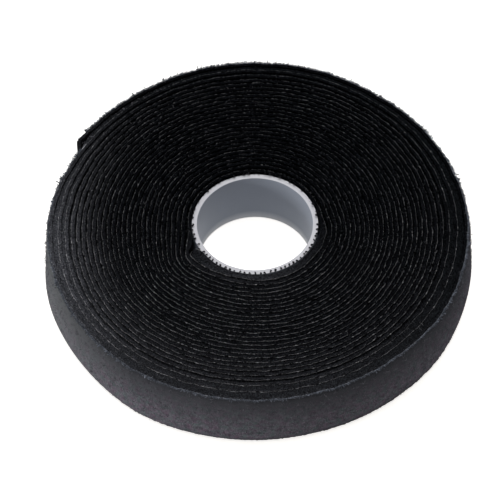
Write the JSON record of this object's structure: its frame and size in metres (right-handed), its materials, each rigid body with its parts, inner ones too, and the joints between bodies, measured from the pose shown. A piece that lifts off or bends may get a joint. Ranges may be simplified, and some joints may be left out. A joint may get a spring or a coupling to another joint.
{
  "type": "hook and loop tape roll",
  "caption": "Roll of back-to-back hook and loop fastening tape wound flat on a short plastic core, with a free end that peels off the outside.",
  "frame": {"origin": "on the core's axis, in the plane that the roll lies on", "axes": "+Z along the core's axis, up from the face that the roll lies on; the tape's outer cut end is on the -X side, towards +Y"},
  "size_m": [0.0879, 0.0888, 0.015],
  "materials": {
    "core_plastic": "white moulded plastic, matt",
    "adhesive": "thin amber adhesive pad, tacky",
    "hook_fabric": "near-black woven tape with moulded hooks",
    "loop_fabric": "near-black brushed loop pile, soft and matt"
  },
  "bodies": {
    "roll": {"core": "core_plastic", "start_tack_pad": "adhesive", "hook_tape": "hook_fabric", "loop_tape": "loop_fabric"},
    "free_end": {"free_end_hook_tape": "hook_fabric", "free_end_loop_tape": "loop_fabric"}
  },
  "joints": [
    {"name": "free_end_peel", "type": "hinge", "parent": "roll", "child": "free_end", "pos_m": [-0.02381, 0.03757, 0.0075], "axis": [0, 0, -1], "range_deg": [0, 120]}
  ]
}
